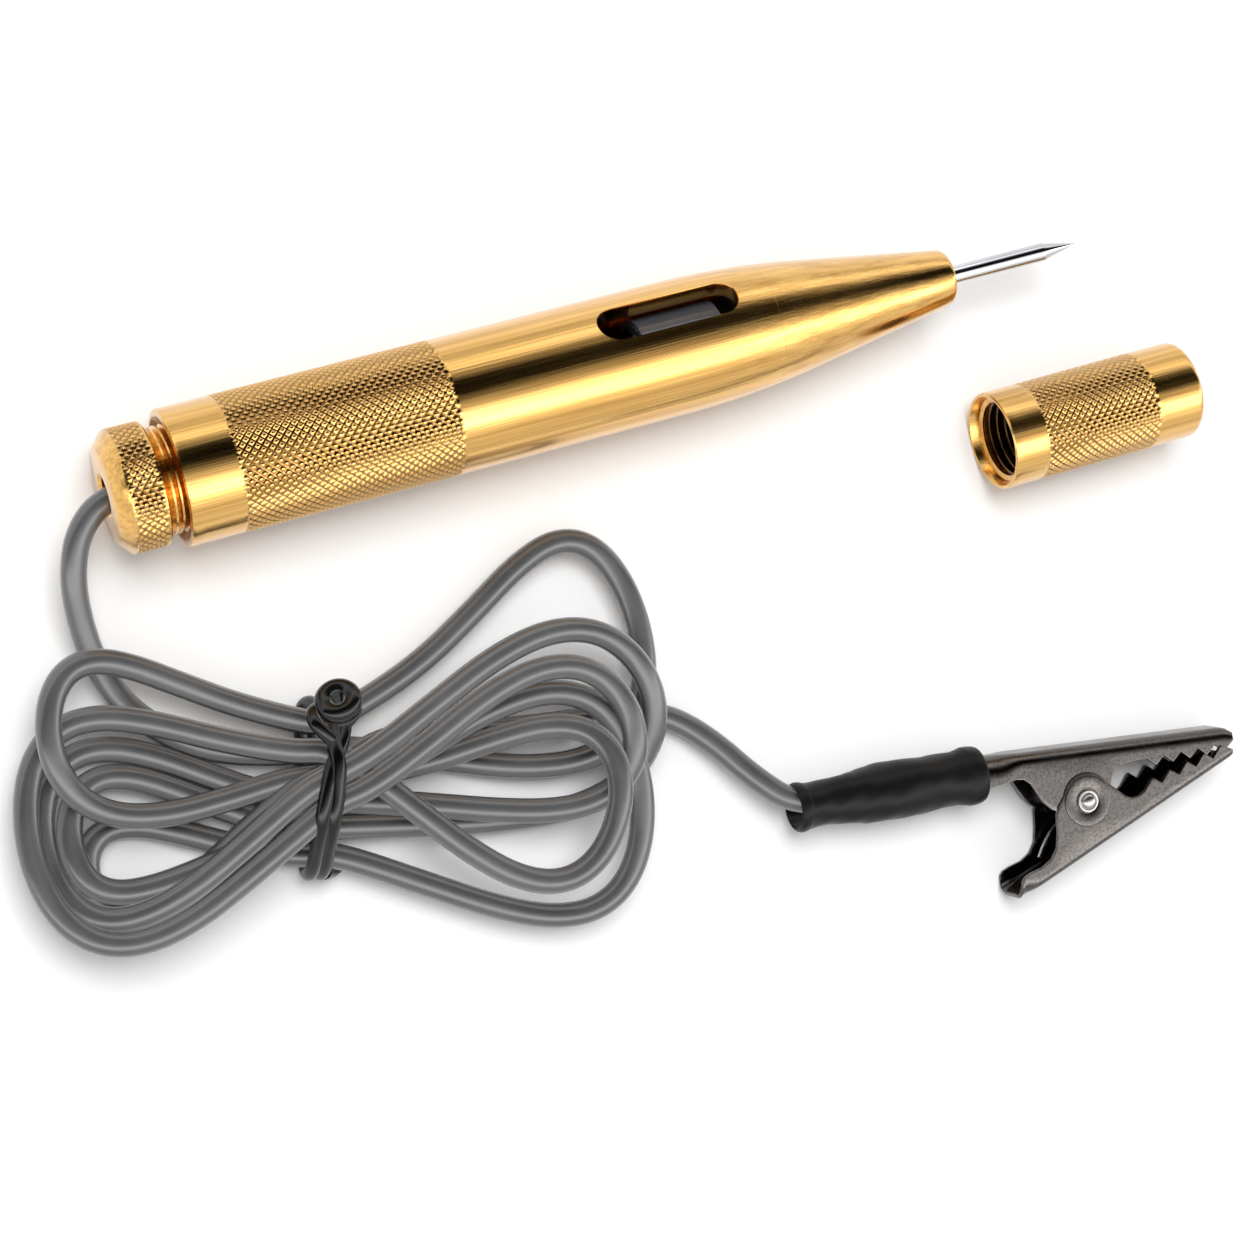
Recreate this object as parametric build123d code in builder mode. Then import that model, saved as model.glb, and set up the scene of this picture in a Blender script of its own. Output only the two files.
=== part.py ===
from build123d import *
from math import cos, pi, radians, sin, tan
import os

# A circuit test light lying on its side: a turned brass tester with a needle at one end and a cord
# at the other, a tied bow-shaped hank of cord, a crocodile clip, and a loose guard for the needle.
# The floor is z = 0. Stations along the tester are measured from the tail nut's rear face.

# Tester, turned parts (mm)
barrel_radius = 7.5
barrel_start = 7.15
seam = 76.0
nose_end = 99.8
needle_tip = 117.0
bore_radius = 5.4
taper_start, taper_end = 65.0, 82.0
taper_slope = 0.163
nut_radius = 6.75
nut_head = 5.3
nut_end = 15.0
thread_pitch = 1.0
tail_thread_radius = 5.85
nose_thread_radius = 5.1
cord_hole_radius = 2.1
edge = 0.3

# Window in the barrel
window_centre = 63.75
window_length = 16.4
window_width = 4.2
window_turn = 34.0

# Bulb, contacts and needle
bulb_radius = 4.2
bulb_start, bulb_end = 60.9, 70.5
bulb_rear, bulb_front = 57.6, 73.0
spring_start = 15.6
needle_radius = 1.05
needle_cone = 4.4
shank_radius = 0.75
liner_radius = 5.2

# Guard cap, lying beside the nose
cap_start = 101.5
cap_length = 25.5
cap_radius = 5.75
cap_bore = 4.4
cap_wall = 0.8
cap_offset = 19.75

# Cord and hank
cord_radius = 1.4
cord_section = pi * cord_radius**2
hank_height = 8.2
hank_lift = 2.2
band_length, band_height = 19.6, 10.2
band_width = 2.3
band_turn = -14.0
tie_head_radius, tie_head_height = 2.55, 4.2

# Crocodile clip, drawn in its own plane with the rivet at the origin and the nose towards +x
sheet = 0.5
upper_half, lower_half = 2.45, 3.05
rivet_radius = 0.9
pin_play = 0.08
clip_yaw, clip_pitch, clip_tilt = -8.46, -1.0, 3.0
rivet_height = 3.5
sleeve_length = 23.6

# The origin is under the middle of the tester and its guard cap
tail_x = -(cap_start + cap_length) / 2
axis_y = (cap_offset + cap_radius - barrel_radius) / 2
tester = Plane(origin=(tail_x, axis_y, barrel_radius), x_dir=(1, 0, 0), z_dir=(0, -1, 0))
tester_axis = Axis(tester.origin, tester.x_dir)
cap_plane = Plane(origin=(tail_x, axis_y - cap_offset, cap_radius), x_dir=(1, 0, 0), z_dir=(0, -1, 0))
cap_axis = Axis(cap_plane.origin, cap_plane.x_dir)


def bench(x, y, z):
    """A point measured from the tail along the tester, across from its axis, and up from the floor."""
    return (tail_x + x, axis_y + y, z)


def turn(points, plane=tester, axis=tester_axis, mode=Mode.ADD):
    """Turn a closed outline of (station, radius) points about an axis."""
    with BuildSketch(plane) as profile:
        with BuildLine():
            Polyline(*points, close=True)
        make_face()
    revolve(profile.sketch, axis=axis, mode=mode)


def cut_grooves(start, count, root, crest, plane=tester, axis=tester_axis):
    """Cut annular V grooves that stand for a thread, from its crest radius to its root radius."""
    past_crest = crest + (0.2 if root < crest else -0.2)
    for index in range(count):
        first = start + index * thread_pitch
        outline = [(first + 0.1, past_crest), (first + thread_pitch - 0.1, past_crest),
                   (first + thread_pitch / 2, root)]
        turn(outline, plane, axis, Mode.SUBTRACT)


def taper(station):
    """Outer radius along the curved shoulder that joins the barrel to the nose cone."""
    along = station - taper_start
    return barrel_radius - taper_slope * along**2 / (2 * (taper_end - taper_start))


def write(part, name):
    part.label = name
    export_step(part, f"parts/{name}.step")


os.makedirs("parts", exist_ok=True)

# ---------------------------------------------------------------- barrel and nose
shoulder_mid = (taper_start + seam) / 2
with BuildPart() as barrel:
    with BuildSketch(tester):
        with BuildLine():
            Polyline(
                (taper_start, barrel_radius),
                (barrel_start + edge, barrel_radius),
                (barrel_start, barrel_radius - edge),
                (barrel_start, 6.8),
                (barrel_start + 0.8, 6.0),
                (17.0, 6.0),
                (17.0, bore_radius),
                (72.2, bore_radius),
                (72.2, 5.2),
                (seam, 5.2),
                (seam, taper(seam)),
            )
            ThreePointArc(
                (seam, taper(seam)),
                (shoulder_mid, taper(shoulder_mid)),
                (taper_start, barrel_radius),
            )
        make_face()
    revolve(axis=tester_axis)
    window_plane = Plane(
        origin=bench(window_centre, 0, barrel_radius),
        x_dir=(1, 0, 0),
        z_dir=(0, sin(radians(window_turn)), cos(radians(window_turn))),
    )
    with BuildSketch(window_plane.offset(barrel_radius + 1)):
        SlotOverall(window_length, window_width)
    extrude(amount=-6, mode=Mode.SUBTRACT)
write(barrel.part, "barrel")

nose_mid = (seam + taper_end) / 2
with BuildPart() as nose_cone:
    with BuildSketch(tester):
        with BuildLine():
            ThreePointArc(
                (seam + 0.05, taper(seam)),
                (nose_mid, taper(nose_mid)),
                (taper_end, taper(taper_end)),
            )
            Polyline(
                (taper_end, taper(taper_end)),
                (nose_end - 0.5, 3.3),
                (nose_end, 2.9),
                (nose_end, 2.5),
                (seam + 0.7, 2.5),
                (seam + 0.7, 4.4),
                (72.6, 4.4),
                (72.6, nose_thread_radius),
                (seam + 0.05, nose_thread_radius),
                (seam + 0.05, taper(seam)),
            )
        make_face()
    revolve(axis=tester_axis)
    cut_grooves(72.8, 3, nose_thread_radius - 0.35, nose_thread_radius)
write(nose_cone.part, "nose_cone")

with BuildPart() as nose_bush:
    turn([(73.15, 2.15), (73.15, 4.3), (76.6, 4.3), (76.6, 2.42), (99.6, 2.42), (99.6, shank_radius + 0.03),
          (76.1, shank_radius + 0.03), (76.1, 2.15)])
write(nose_bush.part, "nose_bush")

with BuildPart() as needle:
    turn([(74.35, 0), (74.35, 2.0), (76.0, 2.0), (76.0, shank_radius),
          (nose_end, shank_radius), (nose_end, needle_radius),
          (needle_tip - needle_cone, needle_radius), (needle_tip, 0.06), (needle_tip, 0)])
write(needle.part, "needle")

with BuildPart() as front_contact:
    turn([(73.1, 0), (73.1, 2.0), (74.3, 2.0), (74.3, 0)])
write(front_contact.part, "front_contact")

# ---------------------------------------------------------------- bulb and its contacts
with BuildPart() as bulb_glass:
    turn([(bulb_start, 3.5), (bulb_start, bulb_radius), (bulb_end, bulb_radius), (bulb_end, 3.5)])
write(bulb_glass.part, "bulb_glass")

with BuildPart() as bulb_rear_cap:
    turn([(bulb_rear, 0), (bulb_rear, 1.2), (bulb_start - 0.6, 3.4), (bulb_start - 0.05, 3.4),
          (bulb_start - 0.05, 0)])
write(bulb_rear_cap.part, "bulb_rear_cap")

with BuildPart() as bulb_front_cap:
    turn([(bulb_end + 0.05, 0), (bulb_end + 0.05, 3.6), (bulb_end + 0.7, 3.6), (bulb_front, 1.4),
          (bulb_front, 0)])
write(bulb_front_cap.part, "bulb_front_cap")

with BuildPart() as bulb_filament:
    turn([(bulb_start, 0), (bulb_start, 0.35), (bulb_end, 0.35), (bulb_end, 0)])
write(bulb_filament.part, "bulb_filament")

with BuildPart() as insulating_tube:
    turn([(17.4, 4.6), (17.4, liner_radius), (54.6, liner_radius), (54.6, 4.6)])
write(insulating_tube.part, "insulating_tube")

with BuildPart() as contact_spring:
    turn([(spring_start, 2.6), (spring_start, 3.4), (bulb_rear - 0.05, 3.4), (bulb_rear - 0.05, 2.6)])
write(contact_spring.part, "contact_spring")

# ---------------------------------------------------------------- tail nut and cord anchor
with BuildPart() as tail_nut:
    turn([(0, cord_hole_radius), (0, 5.2), (1.4, nut_radius), (nut_head - edge, nut_radius),
          (nut_head, nut_radius - edge), (nut_head, tail_thread_radius), (nut_end, tail_thread_radius),
          (nut_end, 4.5), (2.6, 4.5), (2.6, cord_hole_radius)])
    cut_grooves(nut_head + 0.5, 9, tail_thread_radius - 0.4, tail_thread_radius)
write(tail_nut.part, "tail_nut")

with BuildPart() as cord_bush:
    turn([(2.75, 1.55), (2.75, 4.3), (13.2, 4.3), (13.2, 2.1), (6.2, 2.1), (6.2, 1.55)])
write(cord_bush.part, "cord_bush")

with BuildPart() as cord_ferrule:
    turn([(6.3, 0.65), (6.3, 2.0), (13.2, 2.0), (13.2, 0.65)])
write(cord_ferrule.part, "cord_ferrule")

with BuildPart() as cord_conductor:
    turn([(5.25, 0), (5.25, 0.6), (13.6, 0.6), (13.6, 0)])
write(cord_conductor.part, "cord_conductor")

with BuildPart() as rear_contact:
    turn([(13.65, 0), (13.65, 4.2), (14.5, 4.2), (14.5, 2.4), (spring_start + 1.4, 2.4),
          (spring_start + 1.4, 0)])
write(rear_contact.part, "rear_contact")

# ---------------------------------------------------------------- guard cap
cap_end = cap_start + cap_length
with BuildPart() as cap:
    turn([(cap_start, 5.1), (cap_start, cap_radius - 0.25), (cap_start + 0.25, cap_radius),
          (cap_end - 0.6, cap_radius), (cap_end, cap_radius - 0.6), (cap_end, 0),
          (cap_end - cap_wall, 0), (cap_end - cap_wall, cap_bore), (cap_start + 1.0, cap_bore),
          (cap_start + 0.8, 5.1)], cap_plane, cap_axis)
    cut_grooves(cap_start + 1.4, 9, cap_bore + 0.45, cap_bore, cap_plane, cap_axis)
write(cap.part, "cap")


# ---------------------------------------------------------------- cord
def tube_route(name, points):
    """Straight runs joined by tangent arcs, each arc as large as its two runs allow."""
    route = [Vector(*bench(*p)) for p in points]
    runs = [b - a for a, b in zip(route, route[1:])]
    radii = []
    for before, after in zip(runs, runs[1:]):
        half_turn = radians(before.get_angle(after)) / 2
        radii.append(0.45 * min(before.length, after.length) / tan(half_turn))
    print(name, "runs", [round(r.length, 1) for r in runs], "radii", [round(r, 1) for r in radii])
    return FilletPolyline(*route, radius=radii), runs[0]


# From inside the tail nut, out of its hole, round and down to the hank
tail_route = [
    (5.2, 0.0, 7.5),
    (0.2, 0.0, 7.5),
    (-3.6, -2.9, 7.0),
    (-5.3, -7.6, 5.8),
    (-5.4, -12.8, 3.9),
    (-4.7, -17.6, 2.4),
]
# From the hank over the floor and up into the clip's sleeve
clip_route = [
    (52.6, -38.6, 1.5),
    (56.6, -40.4, 1.5),
    (60.3, -44.3, 2.2),
    (63.6, -49.4, 3.1),
    (67.6, -53.9, 4.1),
    (73.0, -54.75, 4.2),
]

with BuildPart() as cord_lead_tail:
    with BuildLine():
        path, first_run = tube_route("cord_lead_tail", tail_route)
    with BuildSketch(Plane(origin=bench(*tail_route[0]), z_dir=first_run)):
        Circle(cord_radius)
    sweep()
print("volume over section times length", cord_lead_tail.part.volume / (cord_section * path.length))
write(cord_lead_tail.part, "cord_lead_tail")

with BuildPart() as cord_lead_clip:
    with BuildLine():
        path, first_run = tube_route("cord_lead_clip", clip_route)
    with BuildSketch(Plane(origin=bench(*clip_route[0]), z_dir=first_run)):
        Circle(cord_radius)
    sweep()
print("volume over section times length", cord_lead_clip.part.volume / (cord_section * path.length))
write(cord_lead_clip.part, "cord_lead_clip")

# The hank: a bow of two uneven lobes, pinched by the tie at its waist
waist = bench(15.1, -36.5, 0)
hank_outline = [
    (0, 7.0), (-13.0, 16.5), (-21.0, 20.8), (-28.0, 18.5), (-33.5, 8.5), (-33.0, -3.0),
    (-28.0, -10.5), (-22.0, -12.4), (-12.0, -9.5), (0, -7.2), (10.0, -17.0), (20.0, -22.0),
    (29.5, -21.8), (37.0, -15.0), (40.5, -2.0), (41.5, 9.0), (39.0, 17.5), (33.0, 20.8),
    (26.0, 19.8), (14.0, 11.0),
]
band_plane = Plane(origin=waist, x_dir=(cos(radians(band_turn)), sin(radians(band_turn)), 0))
with BuildPart() as cord_hank:
    with BuildSketch(Plane(origin=waist)) as lobes:
        with BuildLine():
            Polyline(*hank_outline, close=True)
        make_face()
        fillet(lobes.vertices(), 2.2)
    extrude(amount=hank_height)
    chamfer(cord_hank.faces().sort_by(Axis.Z)[-1].edges(), 1.2)
    with BuildSketch(band_plane):
        Rectangle(band_width + 0.6, 60)
    extrude(amount=hank_lift, mode=Mode.SUBTRACT)
    side_gap = 30 - (band_length / 2 - hank_lift)
    with BuildSketch(band_plane):
        with Locations((0, 30), (0, -30)):
            Rectangle(band_width + 0.6, 2 * side_gap)
    extrude(amount=hank_height, mode=Mode.SUBTRACT)
write(cord_hank.part, "cord_hank")

with BuildPart() as tie_band:
    section = Plane(origin=band_plane.origin, x_dir=band_plane.y_dir, z_dir=band_plane.x_dir)
    with BuildSketch(section.offset(-band_width / 2)):
        with Locations((0, band_height / 2 + 0.05)):
            RectangleRounded(band_length, band_height, 3.0)
            RectangleRounded(
                band_length - 2 * hank_lift + 0.3, band_height - 2 * hank_lift + 0.3, 1.2,
                mode=Mode.SUBTRACT,
            )
    extrude(amount=band_width)
write(tie_band.part, "tie_band")

head_plane = Plane(origin=bench(19.6, -29.3, 7.2), z_dir=(-0.2, 0.6, 0.77))
with BuildPart() as tie_head:
    with BuildSketch(head_plane):
        Circle(tie_head_radius)
        Circle(0.6, mode=Mode.SUBTRACT)
    extrude(amount=tie_head_height)
    fillet(tie_head.faces().sort_by(Axis(head_plane.origin, head_plane.z_dir))[-1].edges(), 0.4)
write(tie_head.part, "tie_head")


# ---------------------------------------------------------------- crocodile clip
yaw, pitch = radians(clip_yaw), radians(clip_pitch)
clip_x = Vector(cos(yaw) * cos(pitch), sin(yaw) * cos(pitch), sin(pitch))
clip_across = Vector(0, 0, 1).cross(clip_x).normalized()
clip_up = clip_x.cross(clip_across)
clip_normal = clip_up * cos(radians(clip_tilt)) - clip_across * sin(radians(clip_tilt))
clip = Plane(origin=bench(101.9, -63.15, rivet_height), x_dir=clip_x, z_dir=clip_normal)
rivet_axis = Axis(clip.origin, clip.z_dir)


def teeth(start, end, count, crest, root):
    """Points of a row of triangular teeth from one end of a jaw edge to the other."""
    points = []
    for index in range(count):
        for part, side in ((0.0, root), (0.5, crest)):
            along = (index + part) / count
            base = start[1] + (end[1] - start[1]) * along
            points.append((start[0] + (end[0] - start[0]) * along, base + side))
    return points


upper_plate = [
    (-14.2, 3.5), (-8.6, 3.6), (-7.4, 3.7), (-6.5, 2.6), (-5.5, 0.7), (-4.5, -0.5), (-3.1, -0.9),
    (-2.2, -2.3), (0, -3.15), (2.2, -2.3), (3.1, -0.6), (3.4, 1.3), (3.6, 2.5), (5.0, 3.75), (8.0, 3.95),
    *teeth((8.4, 3.9), (20.0, 4.35), 5, -1.0, 0.0), (20.4, 4.4), (20.6, 4.9), (20.3, 5.35), (19.6, 5.55),
    (-14.2, 6.3),
]
lower_plate = [
    (-10.5, -10.9), (-11.3, -8.6), (-7.4, -7.0), (-5.0, -6.1), (-4.2, -4.6), (-4.2, -0.6), (-3.45, 0.4),
    (-2.6, 2.2), (0, 3.4), (2.6, 2.2), (3.6, 1.2), (5.9, -0.45), (7.7, -0.1),
    *teeth((8.4, 0.7), (19.6, 3.3), 5, 1.1, 0.0), (20.0, 4.0), (20.4, 3.4), (20.1, 2.5),
]
spine_start, spine_end = (-10.5, -10.9), (20.1, 2.5)


def plates(outline, outer_face):
    """The two side plates of a jaw, one each side of its middle plane."""
    for near in (outer_face - sheet, -outer_face):
        with BuildSketch(clip.offset(near)) as plate:
            with BuildLine():
                Polyline(*outline, close=True)
            make_face()
        extrude(plate.sketch, amount=sheet)


def strip(points, half_width):
    """A bent strip of sheet that joins the two side plates."""
    with BuildSketch(clip.offset(-half_width)) as band:
        with BuildLine():
            Polyline(*points, close=True)
        make_face()
    extrude(band.sketch, amount=2 * half_width)


with BuildPart() as clip_upper_jaw:
    plates(upper_plate, upper_half)
    strip([(-14.2, 6.3), (-14.2, 5.8), (19.6, 5.05), (20.1, 4.7), (20.0, 4.4), (20.4, 4.4), (20.6, 4.9),
           (20.3, 5.35), (19.6, 5.55)], upper_half)
    crimp_plane = Plane(origin=clip.from_local_coords((-30.0, 4.15, 0)), z_dir=clip.x_dir)
    with BuildSketch(crimp_plane):
        Circle(2.1)
        Circle(cord_radius + 0.15, mode=Mode.SUBTRACT)
    extrude(amount=16.3)
    with BuildSketch(clip.offset(upper_half)):
        Circle(rivet_radius + 0.05)
    extrude(amount=-2 * upper_half, mode=Mode.SUBTRACT)
write(clip_upper_jaw.part, "clip_upper_jaw")

back = sheet / cos(radians(23.6))
with BuildPart() as clip_lower_jaw:
    plates(lower_plate, lower_half)
    strip([spine_start, spine_end, (spine_end[0], spine_end[1] + back),
           (spine_start[0] - 0.1, spine_start[1] + back)], lower_half)
    with BuildSketch(clip.offset(lower_half)):
        Circle(rivet_radius + pin_play)
    extrude(amount=-2 * lower_half, mode=Mode.SUBTRACT)
write(clip_lower_jaw.part, "clip_lower_jaw")

with BuildPart() as clip_rivet:
    with BuildSketch(clip.offset(-lower_half - 0.1)):
        Circle(rivet_radius)
    extrude(amount=2 * lower_half + 0.2)
    for face, grow in ((lower_half + 0.1, 0.75), (-lower_half - 0.1, -0.25)):
        with BuildSketch(clip.offset(face)):
            Circle(1.35)
        extrude(amount=grow)
write(clip_rivet.part, "clip_rivet")

coil_radius, wire_radius = 1.7, 0.33
coils = 5
with BuildPart() as clip_spring:
    for index in range(coils):
        level = (index - (coils - 1) / 2) * 1.8 * wire_radius
        wire_centre = clip.from_local_coords((coil_radius, 0, level))
        with BuildSketch(Plane(origin=wire_centre, x_dir=clip.x_dir, z_dir=clip.y_dir)):
            Circle(wire_radius)
        revolve(axis=rivet_axis)
    for level, end in ((1.19, (-6.8, 4.95)), (-1.19, (-5.4, -7.6))):
        leg_start = clip.from_local_coords((-coil_radius, 0.0, level))
        leg_end = clip.from_local_coords((end[0], end[1], level))
        with BuildSketch(Plane(origin=leg_start, z_dir=leg_end - leg_start)):
            Circle(wire_radius)
        extrude(amount=(leg_end - leg_start).length)
write(clip_spring.part, "clip_spring")

sleeve_start = clip.from_local_coords((-36.0, 3.95, 0))
sleeve_end = clip.from_local_coords((-12.5, 4.6, 0))
sleeve = Plane(origin=sleeve_start, x_dir=sleeve_end - sleeve_start, z_dir=clip.z_dir)
with BuildPart() as clip_sleeve:
    turn([(0, 2.2), (0, 2.65), (0.5, 2.85), (2.2, 2.8), (3.0, 2.6), (7.5, 2.7), (10.5, 3.25), (14.5, 3.5),
          (18.5, 3.2), (20.2, 3.1), (21.0, 3.35), (23.0, 3.35), (sleeve_length, 3.1), (sleeve_length, 3.02),
          (21.2, 3.02), (20.8, 2.3), (6.0, 2.3), (5.4, 2.2)], sleeve, Axis(sleeve.origin, sleeve.x_dir))
write(clip_sleeve.part, "clip_sleeve")

print("rivet", rivet_axis.position, "axis", rivet_axis.direction)
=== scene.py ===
from math import cos, pi, radians, sin, sqrt

import bmesh
import bpy
import numpy as np
from mathutils import Matrix, Vector


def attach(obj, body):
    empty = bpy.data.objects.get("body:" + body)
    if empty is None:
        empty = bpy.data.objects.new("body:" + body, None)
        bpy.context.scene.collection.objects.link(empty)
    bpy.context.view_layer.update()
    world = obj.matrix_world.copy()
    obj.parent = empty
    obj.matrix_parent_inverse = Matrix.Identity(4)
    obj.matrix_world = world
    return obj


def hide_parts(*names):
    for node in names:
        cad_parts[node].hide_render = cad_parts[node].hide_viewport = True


# A circuit test light: turned brass tester, tied hank of cord, crocodile clip and a loose guard cap.
# Stations and bench points are in millimetres, as in the part: along the tester from its tail,
# across from its axis, up from the floor.

MM = 0.001
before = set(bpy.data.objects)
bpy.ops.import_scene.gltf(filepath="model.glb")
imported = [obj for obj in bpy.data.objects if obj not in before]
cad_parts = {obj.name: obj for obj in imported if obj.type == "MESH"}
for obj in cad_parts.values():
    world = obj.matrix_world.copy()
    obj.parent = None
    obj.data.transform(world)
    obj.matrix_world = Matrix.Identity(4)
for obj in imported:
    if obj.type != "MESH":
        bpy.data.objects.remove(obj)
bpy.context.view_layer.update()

# ------------------------------------------------------------------ places
TAIL_X, AXIS_Y = -63.5, 9.0
BARREL_R = 7.5
CAP_OFFSET = 19.75
CAP_START, CAP_LENGTH, CAP_R = 101.5, 25.5, 5.75
CORD_R = 1.4


def bench(x, y, z):
    """Metres in the row frame from millimetres on the bench."""
    return Vector(((TAIL_X + x) * MM, (AXIS_Y + y) * MM, z * MM))


# ------------------------------------------------------------------ camera
# fitted to the photo: where the camera stands, and which way its right side and its back point
CAMERA_PLACE = Vector((-0.116152, 0.009, 0.320799))
CAMERA_RIGHT = Vector((0.91117, -0.25062, 0.32705))
CAMERA_BACK = Vector((-0.31558, 0.08587, 0.94501))
SENSOR_WIDTH, LENS = 36.0, 86.12


def make_camera():
    """The photo's camera."""
    data = bpy.data.cameras.new("camera")
    data.sensor_width = SENSOR_WIDTH
    data.lens = LENS
    data.clip_start, data.clip_end = 0.01, 10.0
    camera = bpy.data.objects.new("camera", data)
    bpy.context.scene.collection.objects.link(camera)
    back = CAMERA_BACK.normalized()
    up = back.cross(CAMERA_RIGHT).normalized()
    turn = Matrix((up.cross(back), up, back)).transposed().to_4x4()
    camera.matrix_world = Matrix.Translation(CAMERA_PLACE) @ turn
    bpy.context.scene.camera = camera


make_camera()


# ------------------------------------------------------------------ small helpers
def add(name, mesh_or_curve, body, replaced, material):
    """Link a new piece, ride it on its body and give it its material."""
    piece = bpy.data.objects.new(name, mesh_or_curve)
    bpy.context.scene.collection.objects.link(piece)
    piece.data.materials.append(material)
    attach(piece, body)
    if replaced:
        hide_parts(*replaced)
    return piece


SMOOTH_ANGLE = 35.0


def shade(work, smooth_angle):
    """Smooth the faces, and leave sharp each edge that turns by more than an angle in degrees."""
    limit = radians(smooth_angle)
    for face in work.faces:
        face.smooth = True
    for edge in work.edges:
        edge.smooth = len(edge.link_faces) == 2 and edge.calc_face_angle(0.0) < limit


def mesh_from(name, points, faces, smooth_angle=SMOOTH_ANGLE):
    """A mesh with doubled points merged and its normals outward."""
    mesh = bpy.data.meshes.new(name)
    mesh.from_pydata([tuple(p) for p in points], [], faces)
    mesh.validate()
    work = bmesh.new()
    work.from_mesh(mesh)
    bmesh.ops.remove_doubles(work, verts=work.verts, dist=1e-7)
    bmesh.ops.recalc_face_normals(work, faces=work.faces)
    shade(work, smooth_angle)
    work.to_mesh(mesh)
    work.free()
    return mesh


def apply_modifiers(piece, smooth_angle=SMOOTH_ANGLE):
    """Make a piece's modifiers part of its mesh."""
    made = bpy.data.meshes.new_from_object(piece.evaluated_get(bpy.context.evaluated_depsgraph_get()))
    piece.modifiers.clear()
    piece.data = made
    work = bmesh.new()
    work.from_mesh(made)
    shade(work, smooth_angle)
    work.to_mesh(made)
    work.free()


def ring_faces(rows, ring, closed=True):
    """Quads between neighbouring rings of points, and from the last ring to the first if closed."""
    faces = []
    for row in range(rows if closed else rows - 1):
        this, other = row * ring, (row + 1) % rows * ring
        for index in range(ring):
            after = (index + 1) % ring
            faces.append((this + index, this + after, other + after, other + index))
    return faces


def wire(name, points, radius, resolution=6, sides=4):
    """A round wire, its radius in millimetres, along a smooth open curve."""
    data = bpy.data.curves.new(name, "CURVE")
    data.dimensions = "3D"
    data.bevel_depth = radius * MM
    data.bevel_resolution = sides
    data.use_fill_caps = True
    spline = data.splines.new("NURBS")
    spline.points.add(len(points) - 1)
    for point, place in zip(spline.points, points):
        point.co = (*place, 1.0)
    spline.order_u = 3
    spline.use_endpoint_u = True
    spline.resolution_u = resolution
    return data


def smooth(q):
    """An even start and stop between 0 and 1."""
    q = min(1.0, max(0.0, q))
    return q * q * (3 - 2 * q)


def steps(start, end, count):
    """Evenly spaced values from start to end."""
    return [start + (end - start) * index / count for index in range(count + 1)]


def arc(centre, radius, start, end, count):
    """Points of an arc in two coordinates, its angles in degrees from the first one's axis."""
    return [(centre[0] + radius * cos(radians(a)), centre[1] + radius * sin(radians(a)))
            for a in steps(start, end, count)]


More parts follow.
